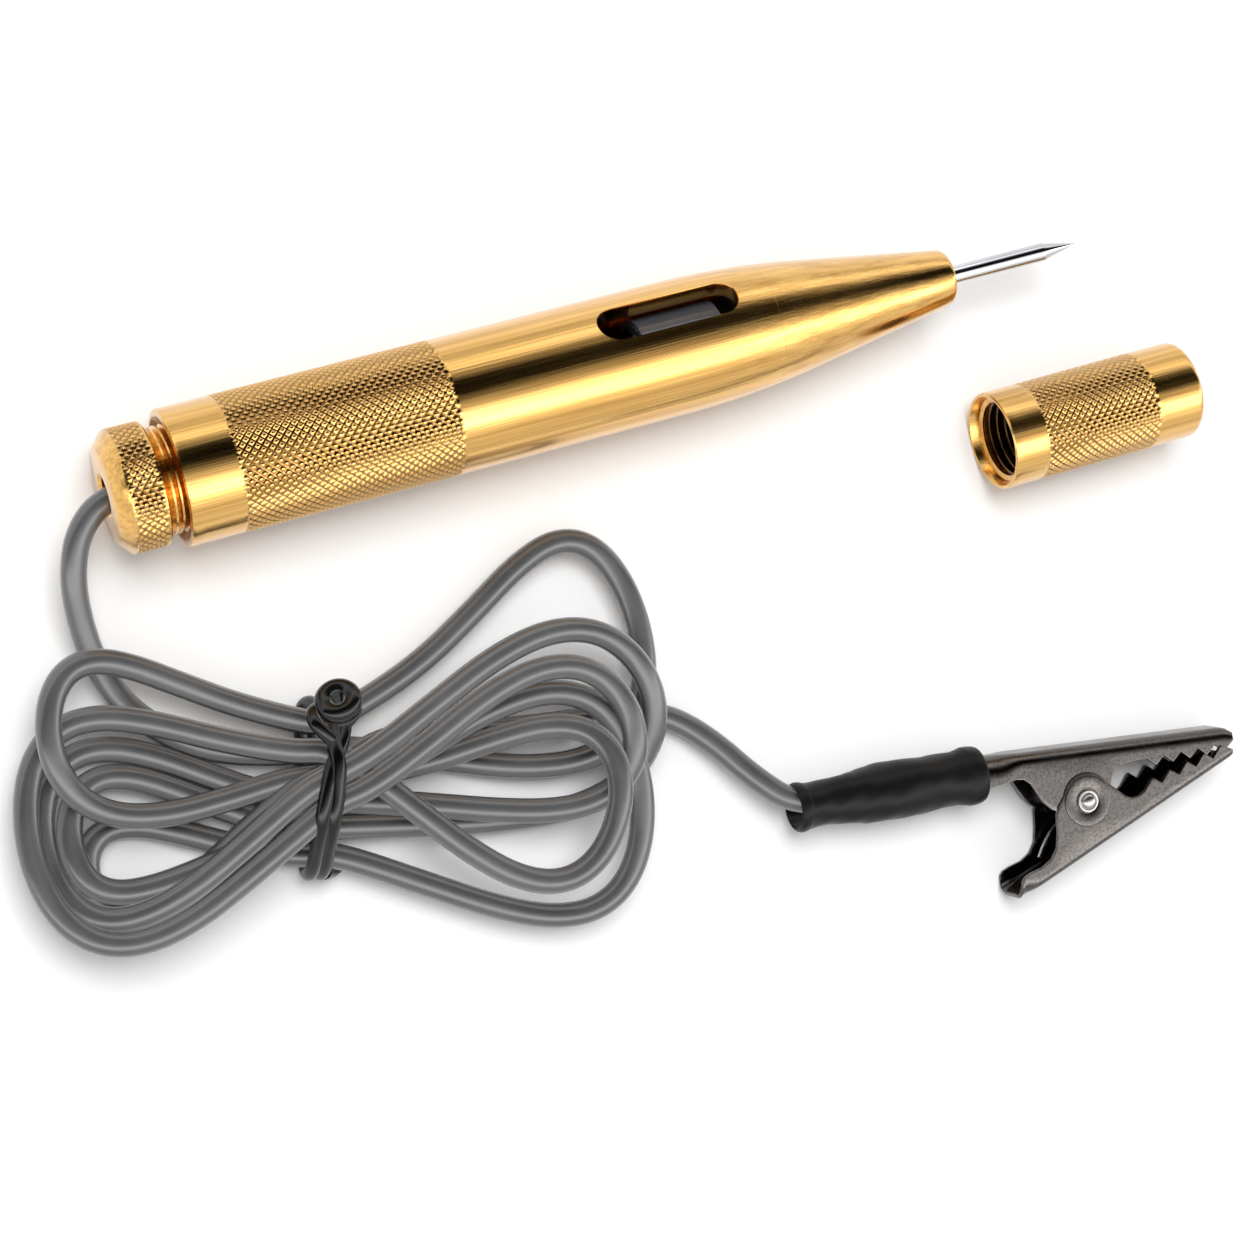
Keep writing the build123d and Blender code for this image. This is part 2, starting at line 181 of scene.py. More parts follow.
# ------------------------------------------------------------------ shader helpers
class Nodes:
    """A material's node tree, built up by short calls."""

    def __init__(self, name):
        self.material = bpy.data.materials.new(name)
        self.material.use_nodes = True
        self.tree = self.material.node_tree
        self.shader = self.tree.nodes["Principled BSDF"]

    def add(self, kind, **values):
        """A node, with its sockets or its settings given by name."""
        node = self.tree.nodes.new(kind)
        for key, value in values.items():
            if key in node.inputs:
                node.inputs[key].default_value = value
            else:
                setattr(node, key, value)
        return node

    def link(self, source, target):
        self.tree.links.new(source, target)

    def set(self, **values):
        """Values of the shader's own sockets."""
        for key, value in values.items():
            self.shader.inputs[key.replace("_", " ")].default_value = value

    def place(self, scale):
        """Object coordinates, stretched along each axis."""
        where = self.add("ShaderNodeTexCoord")
        mapping = self.add("ShaderNodeMapping")
        mapping.inputs["Scale"].default_value = scale
        self.link(where.outputs["Object"], mapping.inputs["Vector"])
        return mapping.outputs["Vector"]

    def noise(self, scale, stretch=(1, 1, 1), detail=3.0, rough=0.5):
        """Noise in the object's own coordinates."""
        node = self.add("ShaderNodeTexNoise", Scale=scale, Detail=detail, Roughness=rough)
        self.link(self.place(stretch), node.inputs["Vector"])
        return node.outputs["Fac"]

    def ramp(self, value, stops):
        """Colours along a value, from (position, colour) stops."""
        node = self.add("ShaderNodeValToRGB")
        ramp = node.color_ramp
        while len(ramp.elements) < len(stops):
            ramp.elements.new(0.5)
        for element, (position, colour) in zip(ramp.elements, stops):
            element.position = position
            element.color = (*colour, 1.0)
        self.link(value, node.inputs["Fac"])
        return node.outputs["Color"]

    def level(self, value, low, high, start=0.3, end=0.7):
        """A value between start and end spread over low to high."""
        node = self.add("ShaderNodeMapRange")
        node.inputs["From Min"].default_value = start
        node.inputs["From Max"].default_value = end
        node.inputs["To Min"].default_value = low
        node.inputs["To Max"].default_value = high
        self.link(value, node.inputs["Value"])
        return node.outputs["Result"]

    def distance(self, axis_y, axis_z):
        """Distance from a turned piece's axis, in its own coordinates."""
        where = self.add("ShaderNodeTexCoord")
        flat = self.add("ShaderNodeVectorMath", operation="MULTIPLY")
        flat.inputs[1].default_value = (0, 1, 1)
        off = self.add("ShaderNodeVectorMath", operation="SUBTRACT")
        off.inputs[1].default_value = (0, axis_y, axis_z)
        length = self.add("ShaderNodeVectorMath", operation="LENGTH")
        self.link(where.outputs["Object"], flat.inputs[0])
        self.link(flat.outputs["Vector"], off.inputs[0])
        self.link(off.outputs["Vector"], length.inputs[0])
        return length.outputs["Value"]

    def within(self, start, end):
        """1 between two places along the tester, 0 elsewhere."""
        where = self.add("ShaderNodeTexCoord")
        parts = self.add("ShaderNodeSeparateXYZ")
        self.link(where.outputs["Object"], parts.inputs["Vector"])
        test = self.add("ShaderNodeMath", operation="COMPARE")
        test.inputs[1].default_value = (start + end) / 2
        test.inputs[2].default_value = (end - start) / 2
        self.link(parts.outputs["X"], test.inputs[0])
        return test.outputs[0]

    def product(self, first, second):
        node = self.add("ShaderNodeMath", operation="MULTIPLY")
        self.link(first, node.inputs[0])
        self.link(second, node.inputs[1])
        return node.outputs[0]

    def mix(self, factor, first, colour):
        """A fixed colour laid over another by a factor."""
        node = self.add("ShaderNodeMix", data_type="RGBA")
        under, over = [socket for socket in node.inputs if socket.type == "RGBA"]
        over.default_value = colour
        self.link(factor, node.inputs["Factor"])
        self.link(first, under)
        return next(socket for socket in node.outputs if socket.type == "RGBA")

    def bump(self, value, depth, strength):
        node = self.add("ShaderNodeBump", Strength=strength, Distance=depth)
        self.link(value, node.inputs["Height"])
        return node.outputs["Normal"]

    def colour(self, socket):
        self.link(socket, self.shader.inputs["Base Color"])

    def rough(self, socket):
        self.link(socket, self.shader.inputs["Roughness"])

    def normal(self, socket):
        self.link(socket, self.shader.inputs["Normal"])


# ------------------------------------------------------------------ materials
BRASS_DARK, BRASS_LIGHT = (0.54, 0.275, 0.052), (0.82, 0.485, 0.135)
# painted shade: the dark colour laid into the knurl's grooves in place of their shadow
PAINTED_GROOVE_SHADE = (0.17, 0.075, 0.015, 1.0)


def brass(name, groove=None):
    """Lacquered turned brass, finely brushed along its length, with painted shade darkening the grooves of
    its knurl.
    groove is the axis (y, z), the radii between which the painted shade fades and the stations it lies in."""
    m = Nodes(name)
    m.set(Metallic=1.0, Coat_Weight=0.7, Coat_Roughness=0.16)
    streaks = m.noise(1500, (0.012, 1, 1), 4.0, 0.7)
    cloud = m.noise(60, (0.35, 1, 1), 2.0)
    tint = m.ramp(streaks, [(0.3, BRASS_DARK), (0.62, BRASS_LIGHT)])
    if groove:
        axis_y, axis_z, floor, crest, start, end = groove
        # painted shade in the knurl's grooves: darker below the crests, and only between the knurl's stations
        groove_shade = m.level(m.distance(axis_y * MM, axis_z * MM), 1.0, 0.0, floor * MM, crest * MM)
        banded = m.within((TAIL_X + start) * MM, (TAIL_X + end) * MM)
        tint = m.mix(m.product(groove_shade, banded), tint, PAINTED_GROOVE_SHADE)
    m.colour(tint)
    m.rough(m.level(cloud, 0.13, 0.25))
    m.normal(m.bump(streaks, 0.00005, 0.6))
    return m.material


def plain_metal(name, dark, light, low, high, grain=400, stretch=(1, 1, 1)):
    """Plated or bare metal with a mottled sheen."""
    m = Nodes(name)
    m.set(Metallic=1.0)
    grains = m.noise(grain, stretch, 5.0, 0.6)
    cloud = m.noise(90, (1, 1, 1), 3.0)
    m.colour(m.ramp(cloud, [(0.3, dark), (0.7, light)]))
    m.rough(m.level(grains, low, high))
    m.normal(m.bump(grains, 0.00001, 0.5))
    return m.material


def plastic(name, dark, light, low, high, grain=500, depth=0.00002, shine=0.5, coat=0.0):
    """Moulded or extruded plastic and rubber."""
    m = Nodes(name)
    m.set(Metallic=0.0, Specular_IOR_Level=shine, Coat_Weight=coat, Coat_Roughness=0.22)
    cloud = m.noise(grain * 0.2, (1, 1, 1), 3.0)
    grains = m.noise(grain, (1, 1, 1), 3.0)
    m.colour(m.ramp(cloud, [(0.3, dark), (0.7, light)]))
    m.rough(m.level(cloud, low, high))
    m.normal(m.bump(grains, depth, 0.4))
    return m.material


def nickel(name):
    """Dull nickel plate, speckled with fine dark pits."""
    m = Nodes(name)
    m.set(Metallic=1.0)
    pits = m.noise(3200, (1, 1, 1), 4.0, 0.7)
    cloud = m.noise(160, (1, 1, 1), 3.0)
    m.colour(m.ramp(pits, [(0.30, (0.055, 0.049, 0.045)), (0.48, (0.100, 0.092, 0.086)),
                           (0.75, (0.145, 0.135, 0.128))]))
    m.rough(m.level(cloud, 0.17, 0.30))
    m.normal(m.bump(pits, 0.000012, 0.5))
    return m.material


def glass(name):
    """Smoky bulb glass, slightly smeared."""
    m = Nodes(name)
    m.set(Metallic=0.0, Transmission_Weight=0.85, IOR=1.47)
    smear = m.noise(200, (0.3, 1, 1), 2.0)
    m.colour(m.ramp(smear, [(0.3, (0.30, 0.32, 0.35)), (0.7, (0.48, 0.51, 0.55))]))
    m.rough(m.level(smear, 0.05, 0.16))
    return m.material


BODY_BRASS = brass("body_brass", groove=(AXIS_Y, BARREL_R, 7.28, 7.47, 8.0, 60.0))
NUT_BRASS = brass("nut_brass", groove=(AXIS_Y, BARREL_R, 6.54, 6.72, 1.4, 5.2))
CAP_BRASS = brass("cap_brass", groove=(AXIS_Y - CAP_OFFSET, CAP_R, 5.53, 5.72, CAP_START + 2, CAP_START + 21))
NOSE_BRASS = brass("nose_brass")
CONTACT_BRASS = plain_metal("contact_brass", (0.6, 0.4, 0.12), (0.75, 0.55, 0.2), 0.25, 0.4)
CORD_PVC = plastic("cord_pvc", (0.060, 0.060, 0.062), (0.086, 0.086, 0.088), 0.26, 0.36, 700, 0.00001,
                   0.6, 0.7)
TIE_BLACK = plastic("tie_black", (0.002, 0.002, 0.002), (0.004, 0.004, 0.004), 0.10, 0.18, 500, 0.00001,
                    0.4)
SLEEVE_RUBBER = plastic("sleeve_rubber", (0.0035, 0.0035, 0.0035), (0.007, 0.007, 0.007), 0.26, 0.40, 260,
                        0.00004, 0.16)
INSULATION = plastic("insulation", (0.03, 0.03, 0.03), (0.05, 0.05, 0.05), 0.4, 0.55)
LINER = plastic("liner", (0.022, 0.012, 0.006), (0.045, 0.026, 0.012), 0.4, 0.55)
CLIP_STEEL = nickel("clip_steel")
RIVET_STEEL = plain_metal("rivet_steel", (0.34, 0.33, 0.32), (0.5, 0.49, 0.48), 0.26, 0.36)
NEEDLE_STEEL = plain_metal("needle_steel", (0.52, 0.53, 0.55), (0.70, 0.71, 0.73), 0.06, 0.16, 900,
                           (0.02, 1, 1))
SPRING_STEEL = plain_metal("spring_steel", (0.4, 0.4, 0.41), (0.6, 0.6, 0.61), 0.15, 0.3)
FERRULE_TIN = plain_metal("ferrule_tin", (0.5, 0.5, 0.5), (0.7, 0.7, 0.7), 0.3, 0.45)
COPPER = plain_metal("copper", (0.55, 0.22, 0.1), (0.75, 0.38, 0.2), 0.25, 0.4, 900, (0.05, 1, 1))
BULB_METAL = plain_metal("bulb_metal", (0.35, 0.35, 0.36), (0.6, 0.6, 0.62), 0.15, 0.3)
FILAMENT = plain_metal("filament", (0.2, 0.2, 0.2), (0.35, 0.35, 0.35), 0.3, 0.45)
BULB_GLASS = glass("bulb_glass")

# ------------------------------------------------------------------ cord
# where the tie holds the hank and how far it is turned, and the heights of the layers in it
WAIST = (15.1, -36.5)
BAND_TURN = radians(-14.0)
LOW, MID, TOP = 2.7, 5.5, 8.3
POINTS_A_LOBE = 14
BELOW_LEAN = 1.3
RISE_POWER = 0.7
# how the hank settles: lengths in millimetres, and shares of a correction made in each round
ROUNDS, LOOK_EVERY, PARTS_A_SPAN = 500, 8, 4
GAP, WATCH, SAME_RUN = 2.9, 1.6, 7.0
CROSSING_FROM, CROSSING_RANGE = 0.15, 0.3
FADE_BY = 0.8
PUSH, SINK, HOLD, LEAST_HOLD = 0.6, 0.015, 0.02, 0.2
EVEN_OUT, EVEN_HEIGHT, UNBEND = 0.1, 0.12, 0.12
TIGHTEST, LONGEST_MOVE = 4.2, 0.4

# from inside the tail nut, out of its hole, round and down to the hank
tail_route = [
    (5.2, 0.0, 7.5),
    (0.2, 0.0, 7.5),
    (-3.6, -2.9, 7.0),
    (-5.3, -7.6, 5.8),
    (-5.4, -12.8, 3.9),
    (-4.7, -17.6, 2.4),
]
# under the first left lobe to the tie, and from the tie out through the right lobes
under_lobe = [(-2.4, -23.3, 1.5), (2.6, -28.2, 1.4), (8.5, -30.9, 1.8)]
through_lobes = [(23.1, -33.0, 4.5), (31.1, -35.5, 2.5), (40.1, -37.0, 1.4), (48.1, -38.1, 1.4)]
# over the floor and up into the clip's sleeve
clip_route = [
    (52.6, -38.6, 1.5),
    (56.6, -40.4, 1.5),
    (60.3, -44.3, 2.2),
    (63.6, -49.4, 3.1),
    (67.6, -53.9, 4.1),
    (73.0, -54.75, 4.2),
]
# each pass of the cord through the tie: place across the bundle and height
passes = [
    (4.2, LOW), (7.0, LOW), (1.4, LOW), (4.3, MID), (-1.3, TOP), (-1.4, LOW),
    (1.6, TOP), (-4.2, LOW), (-1.4, MID), (-7.0, LOW), (1.4, MID),
]
# each lobe between two passes: reach, direction, width above and below, height at its end, and how
# far out it is widest above (a larger power puts that nearer the tip)
lobes = [
    (38.6, 6.2, 8.2, 14.5, 1.4, 2.2), (30.2, 156.4, 3.6, 9.0, 6.5, 2.0),
    (32.4, -25.0, 9.6, 10.2, 7.0, 1.6), (32.4, 175.6, 9.8, 9.8, 3.5, 1.7),
    (34.8, -3.0, 10.0, 6.5, 5.0, 1.4), (30.0, 178.4, 11.0, 9.6, 2.0, 1.6),
    (38.6, 0.5, 9.9, 6.5, 2.5, 1.4), (28.4, 170.0, 9.0, 6.0, 4.5, 1.6),
    (36.2, -14.0, 13.0, 8.6, 4.5, 1.4), (26.0, 180.0, 7.6, 7.2, 1.4, 1.6),
]


def lobe_points(start, end, lobe, from_above):
    """The points of one loop of cord from one pass of the tie to the next."""
    reach, direction, above, below, height, above_lean = lobe
    out = np.array([cos(radians(direction)), sin(radians(direction))])
    side = np.array([-out[1], out[0]]) * (1 if out[0] > 0 else -1)
    first, second = (above, -below) if from_above else (-below, above)
    lean = {above: above_lean, -below: BELOW_LEAN}
    points = []
    for index in range(POINTS_A_LOBE):
        q = (index + 0.5) / POINTS_A_LOBE
        blend = smooth(q)
        half = abs(first) * (1 - blend) + abs(second) * blend
        power = lean[first] * (1 - blend) + lean[second] * blend
        widest = (power / (1 + power)) ** (power / 2) / sqrt(1 + power)
        swing = np.sign(first) * half * sin(pi * q) ** power * cos(pi * q) / widest
        flat = start[:2] * (1 - blend) + end[:2] * blend + out * reach * sin(pi * q) + side * swing
        rise = sin(pi * q) ** RISE_POWER
        level = (start[2] * (1 - blend) + end[2] * blend) * (1 - rise) + height * rise
        points.append((flat[0], flat[1], level))
    return points


def spline_basis(count, parts):
    """Rows that turn control points into points along a quadratic spline."""
    rows = []
    for index in range(1, count - 1):
        for part in range(parts):
            s = part / parts
            row = np.zeros(count)
            row[index - 1 : index + 2] = (0.5 * (1 - s) ** 2, 0.5 + s - s * s, 0.5 * s * s)
            rows.append(row)
    return np.array(rows)


def settle(design, fixed):
    """Let the turns push each other apart and sink to the floor. Near the tie some still press together."""
    points, count = design.copy(), len(design)
    basis = spline_basis(count, PARTS_A_SPAN)
    spread = basis.T / (basis**2).sum(0)[:, None].clip(1e-6)
    for turn in range(ROUNDS):
        line = basis @ points
        heading = np.gradient(line, axis=0)
        heading /= np.linalg.norm(heading, axis=1)[:, None]
        if turn % LOOK_EVERY == 0:
            along = np.concatenate([[0], np.cumsum(np.linalg.norm(np.diff(line, axis=0), axis=1))])
            square = (line**2).sum(1)
            apart = square[:, None] + square[None] - 2 * line @ line.T
            separate = np.abs(along[:, None] - along[None]) > SAME_RUN
            first, second = np.nonzero(np.triu(apart < (GAP + WATCH) ** 2, 1) & separate)
        between = line[first] - line[second]
        distance = np.linalg.norm(between, axis=1)
        close = distance < GAP
        i, j, between, distance = first[close], second[close], between[close], distance[close]
        crossing = np.abs(heading[i, 0] * heading[j, 1] - heading[i, 1] * heading[j, 0])
        over = np.sign(between[:, 2] + 1e-6)
        upright = np.clip((crossing - CROSSING_FROM) / CROSSING_RANGE, 0, 1)[:, None]
        lift = np.stack([0 * over, 0 * over, over], 1)
        way = between / distance[:, None].clip(1e-3) * (1 - upright) + lift * upright
        way /= np.linalg.norm(way, axis=1)[:, None]
        shove = way * ((GAP - distance) * 0.5)[:, None]
        push = np.zeros_like(line)
        np.add.at(push, i, shove)
        np.add.at(push, j, -shove)
        touches = np.bincount(i, minlength=len(line)) + np.bincount(j, minlength=len(line))
        push /= np.sqrt(touches.clip(1))[:, None]
        move = spread @ push * PUSH
        fade = max(0.0, 1 - turn / (ROUNDS * FADE_BY))
        move[:, 2] -= SINK * fade
        drift = points - design
        move[:, :2] -= HOLD * (LEAST_HOLD + fade) * drift[:, :2]
        move[1:-1, :2] += EVEN_OUT * (0.5 * (drift[:-2] + drift[2:]) - drift[1:-1])[:, :2]
        move[1:-1, 2] += EVEN_HEIGHT * (0.5 * (points[:-2, 2] + points[2:, 2]) - points[1:-1, 2])
        back, ahead = points[:-2] - points[1:-1], points[2:] - points[1:-1]
        base = np.linalg.norm(ahead - back, axis=1)
        area = np.linalg.norm(np.cross(back, ahead), axis=1).clip(1e-6)
        bend = np.linalg.norm(back, axis=1) * np.linalg.norm(ahead, axis=1) * base / (2 * area)
        tight = np.clip((TIGHTEST - bend) / TIGHTEST, 0, 1)[:, None]
        move[1:-1] += tight * (back + ahead) * UNBEND
        move[fixed] = 0
        points = points + np.clip(move, -LONGEST_MOVE, LONGEST_MOVE)
        points[~fixed, 2] = points[~fixed, 2].clip(CORD_R)
    return points


def cord_route():
    """Bench points of the whole cord: tail, hank, clip."""
    across = np.array([-sin(BAND_TURN), cos(BAND_TURN)])
    waist = np.array(WAIST)
    ties = [np.array([*(across * place + waist), height]) for place, height in passes]
    route = [*tail_route, *under_lobe]
    fixed = [True] * len(tail_route) + [False] * len(under_lobe)
    for index, lobe in enumerate(lobes):
        route.append(tuple(ties[index]))
        turn = lobe_points(ties[index], ties[index + 1], lobe, index > 0)
        route += turn
        fixed += [True] + [False] * len(turn)
    route.append(tuple(ties[-1]))
    route += through_lobes + clip_route
    fixed += [True] + [False] * len(through_lobes) + [True] * len(clip_route)
    return settle(np.array(route, float), np.array(fixed))


def make_cord():
    """The whole cord as one smooth curve."""
    route = [bench(*place) for place in cord_route()]
    return add("cord", wire("cord", route, CORD_R, resolution=8, sides=5), "cord_set",
               ["cord_lead_tail", "cord_hank", "cord_lead_clip"], CORD_PVC)


cord = make_cord()


# ------------------------------------------------------------------ turned pieces
TAPER_START, TAPER_END, TAPER_SLOPE = 65.0, 82.0, 0.163
SEAM, NOSE_END = 76.0, 99.8
KNURL_DEPTH, KNURL_SLOPE, KNURL_FADE = 0.2, 1.7, 0.5
FACETS_A_TOOTH = 8
KNURL_START, KNURL_END, TEETH, PITCH = 13.0, 37.8, 47, 1.0
NUT_R, NUT_TEETH, NUT_PITCH = 6.75, 42, 0.95
CAP_TEETH, CAP_PITCH = 36, 1.0
CAP_KNURL_START, CAP_KNURL_END = CAP_START + 4.2, CAP_START + 19.5
BORE_R, LINER_SEAT_R = 5.4, 6.0
NOSE_FACETS, NOSE_TIP, NOSE_TIP_R = 256, 99.2, 3.32
# the window: its middle along the tester, its size and its turn from straight up
WINDOW_CENTRE, WINDOW_LENGTH, WINDOW_WIDTH, WINDOW_TURN = 63.75, 16.4, 4.2, radians(34.0)


def shoulder(station):
    """Outer radius along the curved shoulder from barrel to nose."""
    past = max(0.0, station - TAPER_START)
    return BARREL_R - TAPER_SLOPE * past**2 / (2 * (TAPER_END - TAPER_START))


def knurl(around, along):
    """Depth below the crests of a diamond knurl, from two families of V grooves."""
    first = abs((around + along) % 1.0 - 0.5) * 2
    second = abs((around - along) % 1.0 - 0.5) * 2
    crest = min(1.0, KNURL_SLOPE * (1 - max(first, second)))
    return KNURL_DEPTH * (1 - crest)


def lathe(name, profile, ring, axis_y, axis_z, band=None):
    """Mesh of a turned piece. band is its knurl: start, end, teeth, pitch, and a radius that only the
    knurled surface lies beyond."""
    points = []
    for station, radius in profile:
        for index in range(ring):
            angle = 2 * pi * index / ring
            r = radius
            if band and band[0] <= station <= band[1] and radius > band[4]:
                start, end, teeth, pitch, _ = band
                fade = smooth((station - start) / KNURL_FADE) * smooth((end - station) / KNURL_FADE)
                r -= knurl(teeth * index / ring, (station - start) / pitch) * fade
            x = (TAIL_X + station) * MM
            points.append((x, axis_y + r * sin(angle) * MM, axis_z + r * cos(angle) * MM))
    return mesh_from(name, points, ring_faces(len(profile), ring))


def thread(start, end, pitch, crest, root):
    """Profile of an annular thread between two stations."""
    profile, station = [], start
    while station + pitch <= end + 1e-6:
        profile += [(station + pitch * 0.15, crest), (station + pitch * 0.5, root)]
        profile += [(station + pitch * 0.85, crest)]
        station += pitch
    return profile


def slot_ring(level, grow):
    """The stadium outline of the window at a height above the tester's axis."""
    half, radius = (WINDOW_LENGTH - WINDOW_WIDTH) / 2, WINDOW_WIDTH / 2 + grow
    turned = []
    for end in (1, -1):
        for index in range(17):
            angle = -pi / 2 + pi * index / 16 + (0 if end > 0 else pi)
            station, side = WINDOW_CENTRE + end * half + radius * cos(angle), radius * sin(angle)
            y = side * cos(WINDOW_TURN) + level * sin(WINDOW_TURN)
            z = -side * sin(WINDOW_TURN) + level * cos(WINDOW_TURN)
            turned.append(((TAIL_X + station) * MM, (AXIS_Y + y) * MM, (BARREL_R + z) * MM))
    return turned


def cut_slot(piece):
    """Cut the window with a slightly flared cutter, which leaves a bevelled edge."""
    levels = [(3.0, 0.0), (7.05, 0.0), (7.75, 0.42), (9.0, 0.9)]
    rings = [slot_ring(*level) for level in levels]
    rows, count = len(rings), len(rings[0])
    points = [p for ring in rings for p in ring]
    faces = [tuple(range(count)), tuple(reversed(range((rows - 1) * count, rows * count)))]
    faces += ring_faces(rows, count, closed=False)
    tool = bpy.data.objects.new("slot_tool", mesh_from("slot_tool", points, faces))
    bpy.context.scene.collection.objects.link(tool)
    cut = piece.modifiers.new("slot", "BOOLEAN")
    cut.operation, cut.solver, cut.object = "DIFFERENCE", "EXACT", tool
    apply_modifiers(piece)
    bpy.data.objects.remove(tool)


def make_barrel():
    """The grip with its knurl, the window slot and the bore behind it."""
    r = BARREL_R
    outer = [(7.95, 6.0), (7.15, 6.8), (7.15, 7.2), (7.22, 7.38), (7.45, r)]
    outer += [(s, r) for s in steps(8.5, KNURL_START - 0.2, 4)]
    outer += [(s, r) for s in steps(KNURL_START, KNURL_END, round((KNURL_END - KNURL_START) / PITCH * 8))]
    outer += [(s, r) for s in steps(38.2, TAPER_START, 18)]
    outer += [(s, shoulder(s)) for s in steps(65.8, SEAM, 16)]
    inner = [(SEAM, 5.2), (72.2, 5.2), (72.2, BORE_R)]
    inner += [(s, BORE_R) for s in steps(71.5, 17.0, 30)]
    inner += [(17.0, LINER_SEAT_R), (12.0, LINER_SEAT_R)]
    band = (KNURL_START, KNURL_END, TEETH, PITCH, 7.0)
    mesh = lathe("grip_barrel", outer + inner, TEETH * FACETS_A_TOOTH, AXIS_Y * MM, BARREL_R * MM, band)
    cut_slot(add("grip_barrel", mesh, "grip", ["barrel"], BODY_BRASS))


def make_nut():
    """The tail nut: chamfered face, knurled rim, threaded neck."""
    profile = [(0.35, 2.1), (0.0, 2.45), (0.0, 5.0), (0.12, 5.25), (1.3, 6.62)]
    profile += [(s, NUT_R) for s in steps(1.45, 5.1, 31)]
    profile += [(5.25, 6.6), (5.3, 6.4), (5.3, 6.0)]
    profile += thread(5.35, 15.0, 0.72, 5.85, 5.4)
    profile += [(15.0, 5.3), (15.0, 4.5), (2.6, 4.5), (2.6, 2.1)]
    band = (1.4, 5.15, NUT_TEETH, NUT_PITCH, 6.7)
    mesh = lathe("knurled_tail_nut", profile, NUT_TEETH * FACETS_A_TOOTH, AXIS_Y * MM, BARREL_R * MM, band)
    add("knurled_tail_nut", mesh, "nut", ["tail_nut"], NUT_BRASS)


def make_cap():
    """The guard cap: threaded mouth, knurled waist, rounded closed end."""
    start, end = CAP_START, CAP_START + CAP_LENGTH
    profile = [(start + 0.05, 5.3), (start, 5.42), (start, 5.55), (start + 0.12, 5.7), (start + 0.3, CAP_R)]
    profile += [(s, CAP_R) for s in steps(start + 1.0, start + 3.9, 3)]
    profile += [(s, CAP_R) for s in steps(CAP_KNURL_START, CAP_KNURL_END, 122)]
    profile += [(s, CAP_R) for s in steps(start + 19.9, end - 0.9, 4)]
    profile += [(end - 0.9 + 0.9 * sin(a), CAP_R - 0.9 + 0.9 * cos(a)) for a in steps(0.2, pi / 2, 6)]
    profile += [(end, 4.0), (end, 2.0), (end, 0.02)]
    profile += [(end - 0.8, 0.02), (end - 0.8, 2.2), (end - 0.8, 4.4)]
    profile += [(s, 4.4) for s in steps(end - 1.4, start + 11.2, 8)]
    profile += list(reversed(thread(start + 1.3, start + 11.0, 1.05, 4.4, 4.95)))
    profile += [(start + 1.25, 4.4), (start + 1.1, 4.95), (start + 0.3, 5.15)]
    band = (CAP_KNURL_START, CAP_KNURL_END, CAP_TEETH, CAP_PITCH, 5.7)
    mesh = lathe("guard_cap", profile, CAP_TEETH * FACETS_A_TOOTH, (AXIS_Y - CAP_OFFSET) * MM, CAP_R * MM,
                 band)
    add("guard_cap", mesh, "guard", ["cap"], CAP_BRASS)


def make_nose():
    """The smooth nose cone, hollow for its insulating bush."""
    profile = [(SEAM + 0.02, shoulder(SEAM) - 0.03), (SEAM + 0.05, shoulder(SEAM))]
    profile += [(s, shoulder(s)) for s in steps(SEAM + 0.6, TAPER_END, 14)]
    top = shoulder(TAPER_END)
    profile += [(s, top + (NOSE_TIP_R - top) * (s - TAPER_END) / (NOSE_TIP - TAPER_END))
                for s in steps(83.0, NOSE_TIP, 16)]
    profile += [(99.5, 3.22), (99.72, 3.06), (NOSE_END, 2.8), (NOSE_END, 2.5), (76.7, 2.5), (76.7, 4.4)]
    profile += [(72.6, 4.4), (72.6, 5.1)]
    profile += thread(72.7, 75.9, 0.8, 5.1, 4.75)
    profile += [(SEAM + 0.02, 5.1)]
    mesh = lathe("nose", profile, NOSE_FACETS, AXIS_Y * MM, BARREL_R * MM)
    add("nose", mesh, "nose", ["nose_cone"], NOSE_BRASS)


make_barrel()
make_nut()
make_cap()
make_nose()


# ------------------------------------------------------------------ pieces kept from the CAD
def dress(name, material):
    """Give a CAD node that is shown as it is its own material."""
    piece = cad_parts[name]
    piece.data.materials.clear()
    piece.data.materials.append(material)
    for polygon in piece.data.polygons:
        polygon.material_index = 0


for name, material in {
    "needle": NEEDLE_STEEL, "nose_bush": INSULATION, "front_contact": CONTACT_BRASS,
    "bulb_rear_cap": BULB_METAL, "bulb_front_cap": BULB_METAL, "insulating_tube": LINER,
    "cord_bush": INSULATION, "cord_ferrule": FERRULE_TIN, "cord_conductor": COPPER,
    "rear_contact": CONTACT_BRASS, "bulb_filament": FILAMENT, "bulb_glass": BULB_GLASS,
}.items():
    dress(name, material)


# ------------------------------------------------------------------ tie
# how far the tie sits from the hank's waist along the cord, and the radii of its strands and ends
TIE_BACK = -1.0
STRAND_R, TAIL_R, LOOP_END_R = 0.82, 0.85, 0.75


def band_point(across, along, height):
    """A point of the tie: across the bundle, along the cord, up from the floor."""
    turn = Matrix.Rotation(BAND_TURN, 2)
    x, y = turn @ Vector((along + TIE_BACK, across))
    return bench(WAIST[0] + x, WAIST[1] + y, height)


# the loop of the tie seen along the cord: across the bundle and up from the floor
tie_loop = [
    (7.0, 8.6), (5.2, 9.9), (3.0, 10.45), (0.0, 10.5), (-2.6, 10.2), (-4.6, 8.7), (-6.6, 6.7),
    (-8.6, 4.7), (-9.3, 2.8), (-8.7, 1.4), (-6.6, 0.86), (-3.0, 0.84), (0.0, 0.84), (3.0, 0.84), (6.6, 0.86),
    (8.9, 1.5), (9.5, 3.2), (8.9, 5.2), (8.0, 7.0), (7.4, 8.4),
]


